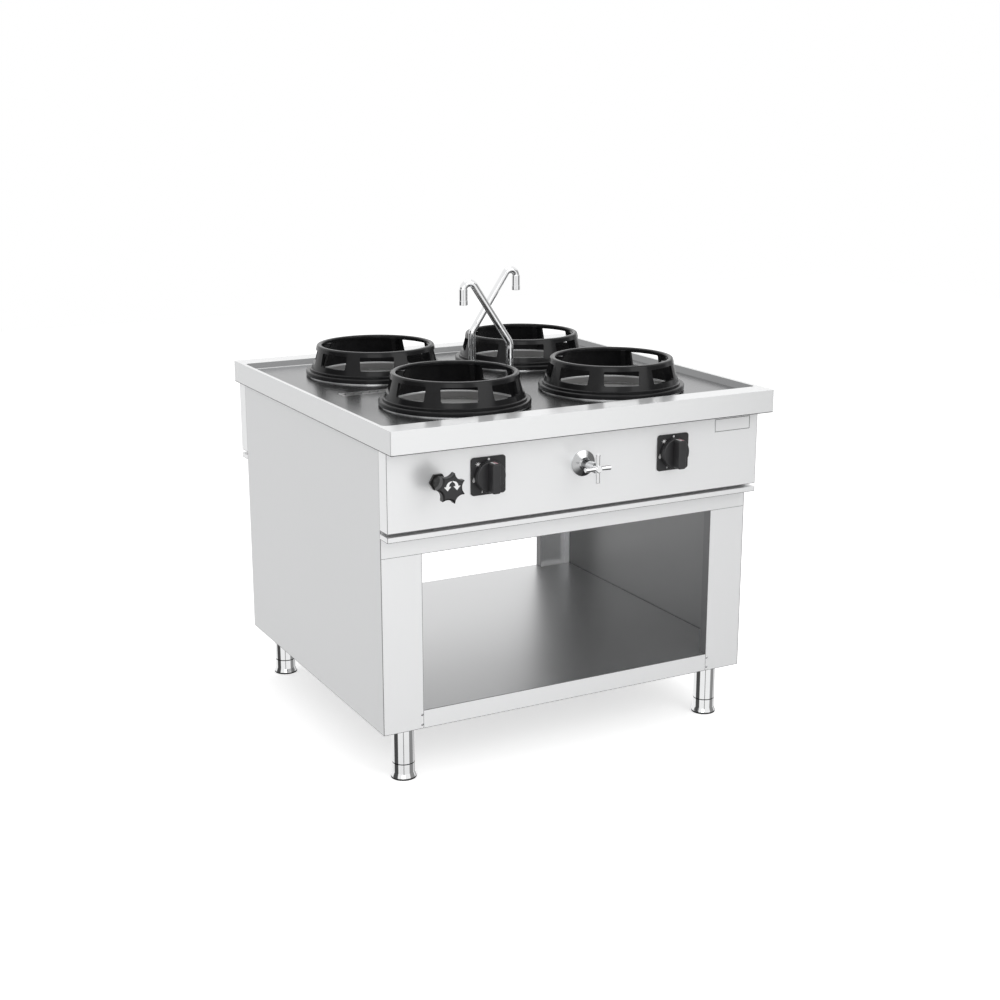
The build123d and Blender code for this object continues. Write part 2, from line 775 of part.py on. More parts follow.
def make_drain_strainer():
    """Flat strip with a zigzag row of slots, resting on the trough's ledge, flush with the well floor."""
    low = well_underside
    strip = block(drain_left, drain_right, -drain_width / 2, drain_width / 2, low, low + strainer_thickness)
    pitch = drain_length / (strainer_slots + 1)
    for count in range(strainer_slots):
        lean = strainer_slot_angle if count % 2 else -strainer_slot_angle
        slot = Box(strainer_slot_width, strainer_slot_length, 4 * strainer_thickness)
        strip -= Pos(drain_left + (count + 1) * pitch, 0, low) * Rot(0, 0, lean) * slot
    return strip


# Legs and screws

def make_leg_tube():
    """Chromed tube with a mounting plate on top and a nut in its lower end, about its own axis."""
    low = foot_height + foot_seat_gap
    high = leg_height
    screw_hole = foot_screw_radius + running_clearance
    inner = leg_radius - leg_wall
    nut_top = low + leg_nut_thickness
    tube = turned([(screw_hole, low), (leg_radius, low), (leg_radius, high), (0, high),
                   (0, high - leg_wall), (inner, high - leg_wall), (inner, nut_top), (screw_hole, nut_top)])
    half = leg_plate_size / 2
    return tube + block(-half, half, -half, half, leg_height, leg_height + leg_plate_thickness)


def make_levelling_foot():
    """Flared foot on its adjusting screw, about its own axis."""
    screw_high = foot_height + foot_screw_length
    outline = [(0, 0), (foot_radius, 0), (foot_radius, foot_pad_height), (leg_radius, foot_flare_height),
               (leg_radius, foot_height), (foot_screw_radius, foot_height), (foot_screw_radius, screw_high),
               (0, screw_high)]
    return turned(outline, [0, 0, 0, foot_flare_round, 0, 0, 0, 0])


def make_screw():
    crown = screw_head_crown
    head = turned([(0, 0), (screw_head_radius, 0), (screw_head_radius, screw_head_height - crown),
                   (screw_head_radius - crown, screw_head_height), (0, screw_head_height)])
    return head + upright(0, 0, -screw_shank_length, 0, screw_shank_radius)


# Assembly

nodes["worktop"] = make_worktop()
nodes["side_panel_left"] = make_side_panel(-1)
nodes["side_panel_right"] = make_side_panel(1)
for name, piece in (("top_rail", make_front_top_rail()), ("bottom_rail", make_front_bottom_rail()),
                    ("control_panel", make_front_control_panel()), ("ledge", make_front_ledge())):
    nodes["front_" + name] = piece
    nodes["back_" + name] = to_back(piece)
left_post = make_front_post(-1)
right_post = make_front_post(1)
nodes["corner_post_front_left"] = left_post
nodes["corner_post_front_right"] = right_post
nodes["corner_post_back_right"] = to_back(left_post)
nodes["corner_post_back_left"] = to_back(right_post)
nodes["bottom_shelf"] = make_bottom_shelf()
nodes["compartment_floor"] = make_compartment_floor()

wok_ring = make_wok_ring()
bowl = make_burner_bowl()
burner = make_burner()
bezel = make_gas_bezel()
knob = make_gas_knob()
spindle = make_valve_spindle()
leg_tube = make_leg_tube()
foot = make_levelling_foot()
valves = []
bezels = []
leg_tubes = []
for corner, (sx, sy) in corners.items():
    nodes["wok_ring_" + corner] = on_top(Pos(sx * ring_x, sy * ring_y, ring_seat) * wok_ring)
    nodes["burner_bowl_" + corner] = on_top(Pos(sx * ring_x, sy * ring_y, well_floor) * bowl)
    nodes["burner_" + corner] = on_top(Pos(sx * ring_x, sy * ring_y, bowl_floor) * on_side(burner, sy))
    seen_side = -sy * sx
    seen_x = seen_side * gas_knob_place
    valves.append(on_side(make_front_gas_valve(seen_side, sy), sy))
    bezels.append(on_side(facing_front(bezel, seen_x, control_axis), sy))
    nodes["gas_knob_" + corner] = on_side(facing_front(knob, seen_x, control_axis), sy)
    nodes["valve_spindle_" + corner] = on_side(facing_front(spindle, seen_x, control_axis), sy)
    leg_tubes.append(Pos(sx * leg_place_x, sy * leg_place_y, 0) * leg_tube)
    nodes["levelling_foot_" + corner] = Pos(sx * leg_place_x, sy * leg_place_y, 0) * foot
nodes["gas_valves"] = group(valves)
nodes["gas_bezels"] = group(bezels)
nodes["leg_tubes"] = group(leg_tubes)
nodes["gas_manifold"] = make_gas_manifold()

tap_body = facing_front(make_tap_body(), 0, control_axis)
tap_handle = facing_front(make_tap_handle(), 0, control_axis)
star_wheel = facing_front(make_star_handwheel(), -star_place, control_axis)
water_valve = facing_front(make_water_valve(), -star_place, control_axis)
for name, piece in (("tap_body", tap_body), ("tap_handle", tap_handle), ("star_handwheel", star_wheel)):
    nodes[name + "_front"] = piece
    nodes[name + "_back"] = to_back(piece)
for name, piece in (("water_spout", make_front_spout()), ("spout_base", make_front_spout_base())):
    nodes[name + "_front"] = on_top(piece)
    nodes[name + "_back"] = on_top(to_back(piece))
nodes["water_valves"] = group([water_valve, to_back(water_valve)])
nodes["water_pipes"] = group([on_side(pipe, sy) for sy in (-1, 1) for pipe in make_front_water_pipe(sy)])

nodes["drain_trough"] = on_top(make_drain_trough())
nodes["drain_strainer"] = on_top(make_drain_strainer())

screws = []
for side in (-1, 1):
    for x, z in screw_places(side):
        screw = Pos(x, -cabinet_face, z) * Rot(90, 0, 0) * make_screw()
        screws += [screw, to_back(screw)]
nodes["rail_screws"] = group(screws)

os.makedirs("parts", exist_ok=True)
for name, shape in nodes.items():
    export_step(shape, "parts/" + name + ".step")
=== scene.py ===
import math

import bpy
from mathutils import Matrix, Vector


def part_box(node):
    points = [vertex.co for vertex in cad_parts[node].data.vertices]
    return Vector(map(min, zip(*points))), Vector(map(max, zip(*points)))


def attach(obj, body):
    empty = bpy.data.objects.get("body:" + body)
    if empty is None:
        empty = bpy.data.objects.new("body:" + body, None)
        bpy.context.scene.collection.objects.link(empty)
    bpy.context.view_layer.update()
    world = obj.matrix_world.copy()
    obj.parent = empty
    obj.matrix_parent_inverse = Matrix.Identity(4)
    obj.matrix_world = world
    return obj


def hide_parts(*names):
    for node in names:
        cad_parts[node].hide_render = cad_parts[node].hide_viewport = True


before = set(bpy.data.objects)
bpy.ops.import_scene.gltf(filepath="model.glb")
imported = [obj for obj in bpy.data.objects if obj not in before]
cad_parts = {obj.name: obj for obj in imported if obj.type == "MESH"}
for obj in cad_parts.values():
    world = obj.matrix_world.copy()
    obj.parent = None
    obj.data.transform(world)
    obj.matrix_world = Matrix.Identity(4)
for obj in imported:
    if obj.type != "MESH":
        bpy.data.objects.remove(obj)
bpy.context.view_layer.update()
print("stage: packed model loaded")


# A socket is fed by a link from another one, or by a plain value
def feed(tree, entry, value):
    if isinstance(value, Sock):
        tree.links.new(value.socket, entry)
    elif entry.type == "RGBA":
        entry.default_value = (*value, 1.0)
    else:
        entry.default_value = value


# Shader sockets that take ordinary arithmetic
class Sock:
    def __init__(self, tree, socket):
        self.tree = tree
        self.socket = socket

    def calc(self, operation, *values):
        made = self.tree.nodes.new("ShaderNodeMath")
        made.operation = operation
        for place, value in enumerate(values):
            feed(self.tree, made.inputs[place], value)
        return Sock(self.tree, made.outputs[0])

    def __add__(self, other):
        return self.calc("ADD", self, other)

    def __radd__(self, other):
        return self.calc("ADD", other, self)

    def __sub__(self, other):
        return self.calc("SUBTRACT", self, other)

    def __rsub__(self, other):
        return self.calc("SUBTRACT", other, self)

    def __mul__(self, other):
        return self.calc("MULTIPLY", self, other)

    def __rmul__(self, other):
        return self.calc("MULTIPLY", other, self)

    def __truediv__(self, other):
        return self.calc("DIVIDE", self, other)

    def __pow__(self, other):
        return self.calc("POWER", self, other)

    def __lt__(self, other):
        return self.calc("LESS_THAN", self, other)

    def __gt__(self, other):
        return self.calc("GREATER_THAN", self, other)

    def absolute(self):
        return self.calc("ABSOLUTE", self)

    def clamp(self):
        return self.calc("MINIMUM", self.calc("MAXIMUM", self, 0.0), 1.0)


noiseKinds = {"soft": (2.0, 0.5), "fine": (3.0, 0.6), "turned": (3.0, 0.5), "patchy": (4.0, 0.6)}
coordinates = {"direction": 0, "object": 3}  # outputs of the Texture Coordinate node


class Finish:
    def __init__(self, name, tree=None):
        if tree is None:
            self.material = bpy.data.materials.new(name)
            self.material.use_nodes = True
            tree = self.material.node_tree
        self.tree = tree
        for old in list(tree.nodes):
            tree.nodes.remove(old)

    def add(self, kind, settings=None, inputs=None, out=0):
        made = self.tree.nodes.new(kind)
        for key, value in (settings or {}).items():
            setattr(made, key, value)
        for key, value in (inputs or {}).items():
            feed(self.tree, made.inputs[key], value)
        if isinstance(out, tuple):
            return [Sock(self.tree, made.outputs[key]) for key in out]
        return Sock(self.tree, made.outputs[out])

    def place(self, scale=(1, 1, 1)):
        spot = self.add("ShaderNodeTexCoord", out=coordinates["object"])
        return self.add("ShaderNodeMapping", {"vector_type": "POINT"}, {"Vector": spot, "Scale": scale})

    def split(self, kind="object"):
        spot = self.add("ShaderNodeTexCoord", out=coordinates[kind])
        return self.add("ShaderNodeSeparateXYZ", None, {0: spot}, out=(0, 1, 2))

    def noise(self, vector, scale, kind="soft"):
        detail, roughness = noiseKinds[kind]
        return self.add("ShaderNodeTexNoise", None,
                        {"Vector": vector, "Scale": scale, "Detail": detail, "Roughness": roughness})

    def blend(self, factor, low, high):
        return self.add("ShaderNodeMix", {"data_type": "RGBA"}, {0: factor, 6: low, 7: high}, out=2)

    def bump(self, height, strength, distance, normal=None):
        inputs = {"Height": height, "Strength": strength, "Distance": distance}
        if normal is not None:
            inputs["Normal"] = normal
        return self.add("ShaderNodeBump", None, inputs)

    def surface(self, **inputs):
        names = {name.replace("_", " "): value for name, value in inputs.items()}
        body = self.add("ShaderNodeBsdfPrincipled", None, names)
        self.add("ShaderNodeOutputMaterial", None, {0: body}, out=())
        return self.material


# A level that textures move up and down without moving its middle
def around(middle, *parts):
    for texture, amount in parts:
        middle = texture * amount + (middle - amount / 2)
    return middle


def shared(first, second, share):
    return (first * share + second * (1.0 - share)).clamp()


# Finishes
# edges: where sheets end or fold, fine lines of painted shade standing for the shadow in the gaps and under
# the overhangs there (on the strainer they are painted highlights): heights, and places out from the middle
brushedSteel = {"pale": (0.95, 0.955, 0.96), "deep": (0.91, 0.915, 0.92), "metal": 0.55, "rough": 0.33,
                "grain": 1100.0, "along": 6.0, "mottle": 2.5, "grainShare": 0.75, "grainRough": 0.08,
                # edge: the colour of the painted shade lines
                "mottleRough": 0.05, "bump": (0.25, 0.000012), "edge": (0.22, 0.22, 0.225),
                "edgeHalf": 0.0011}
panelSteel = {"edges": {"z": (0.129, 0.173, 0.545, 0.592, 0.612), "corner": (0.4890, 0.4698)}}
# sideSteel: the sides' tones are set darker than the fronts' as painted shade, and the face turned into the
# cabinet darker still, painted shade inside
sideSteel = {"pale": (0.75, 0.755, 0.76), "deep": (0.70, 0.705, 0.71), "inside": (0.26, 0.262, 0.265),
             "insideShadeX": 0.4892, "edges": {"z": (0.129,), "y": (0.431,)}}
postSteel = {"pale": (0.94, 0.945, 0.95), "deep": (0.90, 0.905, 0.91),
             "edges": {"z": (0.129,), "x": (0.390,)}}
shelfSteel = {"pale": (0.76, 0.763, 0.767), "deep": (0.72, 0.723, 0.727), "rough": 0.36, "metal": 1.0,
              "mottle": 1.2, "bump": (0.25, 0.000006)}
strainerSteel = {"pale": (0.50, 0.503, 0.507), "deep": (0.42, 0.423, 0.426), "rough": 0.28, "metal": 0.9,
                 # the strainer's edge lines are painted highlights
                 "edges": {"x": (0.4032, 0.2028), "y": (0.0352, 0.0028)}, "edge": (0.85, 0.85, 0.85),
                 "edgeHalf": 0.0009}


# Mask of the painted lines: painted shade on the steel sheets, painted highlights on the strainer
def paintedLineMask(look, x, y, z):
    line = 0.0
    for axis, coordinate in (("x", x.absolute()), ("y", y.absolute()), ("z", z)):
        for spot in look["edges"].get(axis, ()):
            line = ((coordinate - spot).absolute() < look["edgeHalf"]) + line
    if "corner" in look["edges"]:
        outX, outY = look["edges"]["corner"]
        line = line + (x.absolute() > outX) * (y.absolute() > outY)
    return line.clamp()


def makeBrushedSteel(name, run, changes):
    look = {**brushedSteel, **changes}
    finish = Finish(name)
    scale = [look["grain"]] * 3
    scale["XYZ".index(run)] = look["along"]
    grain = finish.noise(finish.place(scale), 1.0, "fine")
    mottle = finish.noise(finish.place(), look["mottle"])
    colour = finish.blend(shared(grain, mottle, look["grainShare"]), look["deep"], look["pale"])
    rough = around(look["rough"], (grain, look["grainRough"]), (mottle, look["mottleRough"]))
    x, y, z = finish.split()
    if "inside" in look:  # the face turned into the cabinet is painted darker, painted shade inside the cabinet
        colour = finish.blend(x.absolute() < look["insideShadeX"], colour, look["inside"])
    # painted lines at edges, folds and corners: painted shade on the steel sheets, painted highlights on the
    # strainer
    if "edges" in look:
        colour = finish.blend(paintedLineMask(look, x, y, z), colour, look["edge"])
    return finish.surface(Base_Color=colour, Metallic=look["metal"], Roughness=rough,
                          Normal=finish.bump(grain, *look["bump"]))


worktopSteel = {"rim": (0.90, 0.905, 0.91), "end": (0.74, 0.745, 0.75), "shadedWellPale": (0.34, 0.343, 0.347),
                "shadedWellDark": (0.20, 0.202, 0.205), "rimMetal": 0.6, "wellMetal": 1.0, "rough": 0.24,
                "rimLevel": 0.8492, "middleY": -0.019, "wellX": 0.492, "wellY": 0.443, "shadedEndX": 0.4995,
                "foldY": 0.4316, "foldHalf": 0.0011, "foldHighlightColour": (0.60, 0.603, 0.607), "hemShadeTop": 0.7977,
                "hemShadeColour": (0.05, 0.05, 0.052), "grain": 900.0, "along": 4.0, "mottle": 2.2,
                "grainShare": 0.4, "grainRough": 0.10, "bump": (0.25, 0.000015)}


def makeWorktopSteel():
    look = worktopSteel
    finish = Finish("worktopSteel")
    x, y, z = finish.split()
    grain = finish.noise(finish.place((look["along"], look["grain"], look["grain"])), 1.0, "fine")
    mottle = finish.noise(finish.place(), look["mottle"])
    offMiddle = (y - look["middleY"]).absolute()
    well = (z < look["rimLevel"]) * (x.absolute() < look["wellX"]) * (offMiddle < look["wellY"])
    # the well is painted darker than the rim, painted shade in the recess; grain and mottle move it between
    # its two tones
    shadedWellColour = finish.blend(shared(grain, mottle, look["grainShare"]), look["shadedWellDark"], look["shadedWellPale"])
    # a painted highlight along the well's fold
    fold = (offMiddle - look["foldY"]).absolute() < look["foldHalf"]
    shadedWellColour = finish.blend(fold, shadedWellColour, look["foldHighlightColour"])
    # the end faces at left and right are painted darker than the rim, painted shade
    rimColour = finish.blend(x.absolute() > look["shadedEndX"], look["rim"], look["end"])
    colour = finish.blend(well, rimColour, shadedWellColour)
    # a dark band of painted shade along the apron's lower hem, for the shadow under the overhang
    colour = finish.blend(z < look["hemShadeTop"], colour, look["hemShadeColour"])
    metal = well * (look["wellMetal"] - look["rimMetal"]) + look["rimMetal"]
    return finish.surface(Base_Color=colour, Metallic=metal,
                          Roughness=around(look["rough"], (grain, look["grainRough"])),
                          Normal=finish.bump(grain, *look["bump"]))


castEnamel = {"black": (0.007, 0.007, 0.0074), "worn": (0.015, 0.015, 0.016), "wear": 1.6, "rough": 0.22,
              "sand": 900.0, "sandRough": 0.06, "sandBump": (0.25, 0.00006), "wave": 60.0,
              "waveRough": 0.12, "waveBump": (0.20, 0.0003), "gloss": 0.16, "coat": 0.10, "coatRough": 0.08}


def makeCastEnamel():
    look = castEnamel
    finish = Finish("castEnamel")
    sand = finish.noise(finish.place(), look["sand"], "fine")
    wave = finish.noise(finish.place(), look["wave"])
    colour = finish.blend((sand * wave * look["wear"]).clamp(), look["black"], look["worn"])
    rough = around(look["rough"], (wave, look["waveRough"]), (sand, look["sandRough"]))
    low = finish.bump(wave, *look["waveBump"])
    return finish.surface(Base_Color=colour, Metallic=0.0, Roughness=rough, Specular_IOR_Level=look["gloss"],
                          Coat_Weight=look["coat"], Coat_Roughness=look["coatRough"],
                          Normal=finish.bump(sand, *look["sandBump"], low))


burnerIron = {"dark": (0.045, 0.042, 0.040), "rust": (0.14, 0.085, 0.06), "metal": 0.55, "rough": 0.62,
              "patch": 45.0, "patchContrast": 2.2, "patchStart": 0.9, "rustShare": 0.35, "patchRough": 0.2,
              "sand": 700.0, "bump": (0.5, 0.0002)}


def makeBurnerIron():
    look = burnerIron
    finish = Finish("burnerIron")
    patch = finish.noise(finish.place(), look["patch"], "patchy")
    sand = finish.noise(finish.place(), look["sand"], "fine")
    rusty = (patch * look["patchContrast"] - look["patchStart"]).clamp() * look["rustShare"]
    return finish.surface(Base_Color=finish.blend(rusty, look["dark"], look["rust"]), Metallic=look["metal"],
                          Roughness=around(look["rough"], (patch, look["patchRough"])),
                          Normal=finish.bump(sand, *look["bump"]))


mouldedBlack = {"black": (0.020, 0.020, 0.021), "sheen": (0.032, 0.032, 0.034), "rough": 0.42,
                "grain": 2600.0, "handled": 40.0, "handledRough": 0.14, "bump": (0.25, 0.00005)}
# wheelBlack: the bevel band is painted shade, the side colour a painted sheen
wheelBlack = {"bevel": (0.5427, 0.5457), "bevelShade": (0.004, 0.004, 0.004), "side": (0.055, 0.055, 0.057)}
plateBlack = {"rough": 0.5, "black": (0.016, 0.016, 0.017)}


def makeMouldedBlack(name, changes):
    look = {**mouldedBlack, **changes}
    finish = Finish(name)
    grain = finish.noise(finish.place(), look["grain"])
    handled = finish.noise(finish.place(), look["handled"])
    colour = finish.blend(handled, look["black"], look["sheen"])
    if "bevel" in look:  # painted shade on the wheel's bevelled edge, darker than its face, and a painted sheen on its side, lighter
        out = finish.split()[1].absolute()
        low, high = look["bevel"]
        sideSheenColour = finish.blend(out < low, colour, look["side"])
        colour = finish.blend((out > low) * (out < high), sideSheenColour, look["bevelShade"])
    return finish.surface(Base_Color=colour, Metallic=0.0,
                          Roughness=around(look["rough"], (handled, look["handledRough"])),
                          Normal=finish.bump(grain, *look["bump"]))


brightChrome = {"pale": (0.90, 0.905, 0.91), "deep": (0.84, 0.845, 0.85), "rough": 0.03}
satinChrome = {"pale": (0.60, 0.605, 0.61), "deep": (0.48, 0.485, 0.49), "rough": 0.12}
chromeCloud = {"scale": 30.0, "rough": 0.05}


def makeChrome(name, look):
    finish = Finish(name)
    cloud = finish.noise(finish.place(), chromeCloud["scale"])
    return finish.surface(Base_Color=finish.blend(cloud, look["deep"], look["pale"]), Metallic=1.0,
                          Roughness=cloud * chromeCloud["rough"] + look["rough"])


# A foot has a rubber pad below, and the sleeve's lower edge reads as a dark line round it
footChrome = {"padTop": 0.0042, "padRough": 0.5, "rubber": (0.02, 0.02, 0.02), "seam": 0.0012,
              "dark": (0.03, 0.03, 0.03)}


def makeFootChrome():
    look = footChrome
    finish = Finish("footChrome")
    z = finish.split()[2]
    cloud = finish.noise(finish.place(), chromeCloud["scale"])
    pad = z < look["padTop"]
    metal = finish.blend(cloud, brightChrome["deep"], brightChrome["pale"])
    seam = (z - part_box("leg_tubes")[0][2]).absolute() < look["seam"]
    colour = finish.blend(pad, finish.blend(seam, metal, look["dark"]), look["rubber"])
    rough = cloud * chromeCloud["rough"] + brightChrome["rough"] + pad * look["padRough"]
    return finish.surface(Base_Color=colour, Metallic=1.0 - pad, Roughness=rough)


bowlSteel = {"pale": (0.40, 0.40, 0.398), "heated": (0.30, 0.297, 0.292), "lip": (0.86, 0.865, 0.87),
             "lipLevel": 0.8345, "metal": 0.6, "rough": 0.20, "round": 4.0, "ring": 260.0, "turning": 3.0,
             "ringShare": 0.3, "ringRough": 0.08, "heatTop": 0.828, "heatSlope": 18.0, "heatRough": 0.18,
             "bump": (0.15, 0.00002)}


def makeBowlSteel():
    look = bowlSteel
    finish = Finish("bowlSteel")
    z = finish.split()[2]
    rings = finish.place((look["round"], look["round"], look["ring"]))
    turning = finish.noise(rings, look["turning"], "turned")
    depth = ((look["heatTop"] - z) * look["heatSlope"]).clamp()
    heat = depth * (turning * look["ringShare"] + (1.0 - look["ringShare"]))
    colour = finish.blend(heat, look["pale"], look["heated"])
    colour = finish.blend(z > look["lipLevel"], colour, look["lip"])
    return finish.surface(Base_Color=colour, Metallic=look["metal"],
                          Roughness=turning * look["ringRough"] + depth * look["heatRough"] + look["rough"],
                          Normal=finish.bump(turning, *look["bump"]))


plainMetals = {"brass": ((0.60, 0.42, 0.16), (0.72, 0.55, 0.25), 0.28),
               "galvanised": ((0.42, 0.43, 0.44), (0.56, 0.57, 0.58), 0.42),
               # blackened: black for the valve bonnets, partly their own black and partly painted shade
               # standing for the handwheels' contact shadow on the panels; the aerators' screens use it too
               "blackened": ((0.006, 0.006, 0.006), (0.012, 0.012, 0.012), 0.55)}
plainPatch = {"scale": 70.0, "rough": 0.2, "bump": (0.15, 0.0002)}


def makePlainMetal(name, metallic=1.0):
    deep, pale, rough = plainMetals[name]
    finish = Finish(name)
    patch = finish.noise(finish.place(), plainPatch["scale"], "fine")
    return finish.surface(Base_Color=finish.blend(patch, deep, pale), Metallic=metallic,
                          Roughness=around(rough, (patch, plainPatch["rough"])),
                          Normal=finish.bump(patch, *plainPatch["bump"]))


ink = {"speck": 1500.0, "paler": 1.12, "rough": 0.5, "speckRough": 0.1}


def makeInk(name, colour):
    finish = Finish(name)
    speck = finish.noise(finish.place(), ink["speck"])
    paler = tuple(min(1.0, part * ink["paler"]) for part in colour)
    return finish.surface(Base_Color=finish.blend(speck, colour, paler),
                          Roughness=around(ink["rough"], (speck, ink["speckRough"])))


finishes = {
    "front": makeBrushedSteel("panelSteel", "X", panelSteel),
    "side": makeBrushedSteel("sideSteel", "Z", sideSteel),
    "post": makeBrushedSteel("postSteel", "Z", postSteel),
    "inside": makeBrushedSteel("shelfSteel", "Y", shelfSteel),
    "strainer": makeBrushedSteel("strainerSteel", "X", strainerSteel),
    "worktop": makeWorktopSteel(),
    "iron": makeCastEnamel(),
    "burner": makeBurnerIron(),
    "knob": makeMouldedBlack("knobBlack", {}),
    "star": makeMouldedBlack("wheelBlack", wheelBlack),
    "plate": makeMouldedBlack("plateBlack", plateBlack),
    "chrome": makeChrome("brightChrome", brightChrome),
    "rose": makeChrome("satinChrome", satinChrome),
    "foot": makeFootChrome(),
    "bowl": makeBowlSteel(),
    "brass": makePlainMetal("brass"),
    "pipe": makePlainMetal("galvanised"),
    "bonnet": makePlainMetal("blackened", 0.0),
    "white": makeInk("whitePrint", (0.80, 0.80, 0.80)),
    "grey": makeInk("greyPrint", (0.45, 0.45, 0.45)),
    "red": makeInk("redPrint", (0.56, 0.30, 0.34)),
    "border": makeInk("darkLine", (0.05, 0.05, 0.05)),
}

# The first start that fits a node's name gives its finish
nodeFinish = [
    ("worktop", "worktop"), ("side_panel", "side"), ("corner_post", "post"), ("bottom_shelf", "inside"),
    ("compartment_floor", "inside"), ("front_", "front"), ("back_", "front"), ("wok_ring", "iron"),
    ("burner_bowl", "bowl"), ("burner_", "burner"), ("gas_knob", "knob"), ("gas_bezels", "plate"),
    ("star_handwheel", "star"), ("water_valves", "bonnet"), ("valve_spindle", "brass"),
    ("gas_valves", "brass"), ("gas_manifold", "pipe"), ("water_pipes", "pipe"), ("levelling_foot", "foot"),
    ("leg_tubes", "foot"), ("tap_body", "rose"), ("tap_handle", "chrome"), ("water_spout", "chrome"),
    ("spout_base", "chrome"), ("drain_strainer", "strainer"), ("drain_trough", "inside"),
    ("rail_screws", "pipe"),
]
for nodeName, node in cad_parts.items():
    for start, key in nodeFinish:
        if nodeName.startswith(start):
            for slot in node.material_slots:
                slot.material = finishes[key]
            break
print("stage: finishes on the packed pieces")


# Modelling helpers
def letGo():
    if bpy.context.object and bpy.context.object.mode != "OBJECT":
        bpy.ops.object.mode_set(mode="OBJECT")
    bpy.ops.object.select_all(action="DESELECT")


def pick(piece):
    letGo()
    piece.select_set(True)
    bpy.context.view_layer.objects.active = piece


def applyPlace(piece):
    pick(piece)
    bpy.ops.object.transform_apply(location=True, rotation=True, scale=True)


def addModifier(piece, kind, settings):
    pick(piece)
    modifier = piece.modifiers.new(kind.lower(), kind)
    for key, value in settings.items():
        setattr(modifier, key, value)
    bpy.ops.object.modifier_apply(modifier=modifier.name)


def joined(pieces, name):
    letGo()
    for piece in pieces:
        piece.select_set(True)
    bpy.context.view_layer.objects.active = pieces[0]
    bpy.ops.object.join()
    whole = bpy.context.object
    whole.name = name
    return whole


def copied(piece, name):
    twin = piece.copy()
    twin.data = piece.data.copy()
    twin.name = name
    bpy.context.collection.objects.link(twin)
    return twin


def finishPiece(piece, body):
    applyPlace(piece)
    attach(piece, body)
    return piece


def paint(piece, key):
    piece.data.materials.clear()
    piece.data.materials.append(finishes[key])


def smoothed(piece, angle):
    pick(piece)
    bpy.ops.object.shade_smooth_by_angle(angle=math.radians(angle))


weldDistance = 0.00001


# Leaves edit mode with the doubles merged and the faces pointing outwards
def cleaned():
    bpy.ops.mesh.select_all(action="SELECT")
    bpy.ops.mesh.remove_doubles(threshold=weldDistance)
    bpy.ops.mesh.normals_make_consistent(inside=False)
    bpy.ops.object.mode_set(mode="OBJECT")


# A turned shape: a disc at the outline's first ring, extruded and widened ring by ring
def turned(outline, name, steps):
    letGo()
    radius, level = outline[0]
    bpy.ops.mesh.primitive_circle_add(vertices=steps, radius=radius, fill_type="NGON", location=(0, 0, level))
    piece = bpy.context.object
    piece.name = name
    applyPlace(piece)
    bpy.ops.object.mode_set(mode="EDIT")
    bpy.ops.mesh.select_all(action="SELECT")
    for nextRadius, nextLevel in outline[1:]:
        bpy.ops.mesh.extrude_region_move(TRANSFORM_OT_translate={"value": (0, 0, nextLevel - level)})
        grow = nextRadius / radius
        bpy.ops.transform.resize(value=(grow, grow, 1.0), center_override=(0, 0, nextLevel))
        radius, level = nextRadius, nextLevel
    cleaned()
    return piece


# Stands a flat piece on a control panel's face, x to the right of someone who faces that side
def facing(side, x, out, z):
    upright = Matrix.Translation((x, -out, z)) @ Matrix.Rotation(math.radians(90), 4, "X")
    return upright if side == "front" else Matrix.Rotation(math.pi, 4, "Z") @ upright


def placed(piece, matrix):
    piece.matrix_world = matrix @ piece.matrix_world
    bpy.context.view_layer.update()
    applyPlace(piece)
    return piece


controls = {"height": 0.717, "plateX": 0.245, "plateFace": 0.475, "starX": 0.370,
            "starFace": 0.54585, "print": 0.0002, "printSteps": 5}


# Print cut from flat outlines; a point's third word says how the line runs through it
def makePrint(outlines, key):
    drawing = bpy.data.curves.new("print", "CURVE")
    drawing.dimensions = "2D"
    drawing.fill_mode = "BOTH"
    drawing.extrude = controls["print"] / 2
    drawing.resolution_u = controls["printSteps"]
    for outline in outlines:
        line = drawing.splines.new("BEZIER")
        line.bezier_points.add(len(outline) - 1)
        line.use_cyclic_u = True
        for point, (x, y, run) in zip(line.bezier_points, outline):
            point.co = (x, y, 0)
            point.handle_left_type = point.handle_right_type = run
    piece = bpy.data.objects.new("print", drawing)
    bpy.context.collection.objects.link(piece)
    pick(piece)
    bpy.ops.object.convert(target="MESH")
    piece = bpy.context.object
    piece.location.z = controls["print"] / 2
    applyPlace(piece)
    bpy.ops.object.mode_set(mode="EDIT")
    cleaned()
    paint(piece, key)
    return piece


def moved(outline, x, y, grow=1.0):
    return [(x + px * grow, y + py * grow, run) for px, py, run in outline]


def roundOutline(radius):
    return [(radius * math.cos(turn), radius * math.sin(turn), "AUTO")
            for turn in (math.radians(90.0 * count) for count in range(4))]


# Marks printed on each gas plate: off, spark, large flame, small flame
plateMarks = {"off": (0.0005, 0.0374, 0.0027), "spark": (-0.0262, 0.0283),
              "sparkSize": (0.0078, 0.0060, 0.0021), "sparkPoints": 7, "sparkTurn": 0.35,
              "flame": (-0.0372, -0.0064), "smallFlame": (-0.0165, -0.0352), "smallGrow": 0.45}
flameOutline = [(0.0004, 0.0066, "VECTOR"), (-0.0021, 0.0014, "AUTO"), (-0.0031, -0.0027, "AUTO"),
                (0.0, -0.0061, "AUTO"), (0.0031, -0.0026, "AUTO"), (0.0018, 0.0018, "AUTO")]


def sparkOutline():
    look = plateMarks
    wide, high, inner = look["sparkSize"]
    outline = []
    for count in range(2 * look["sparkPoints"]):
        turn = math.pi * count / look["sparkPoints"] + look["sparkTurn"]
        outX, outY = (wide, high) if count % 2 == 0 else (inner, inner)
        outline.append((outX * math.cos(turn), outY * math.sin(turn), "VECTOR"))
    return outline


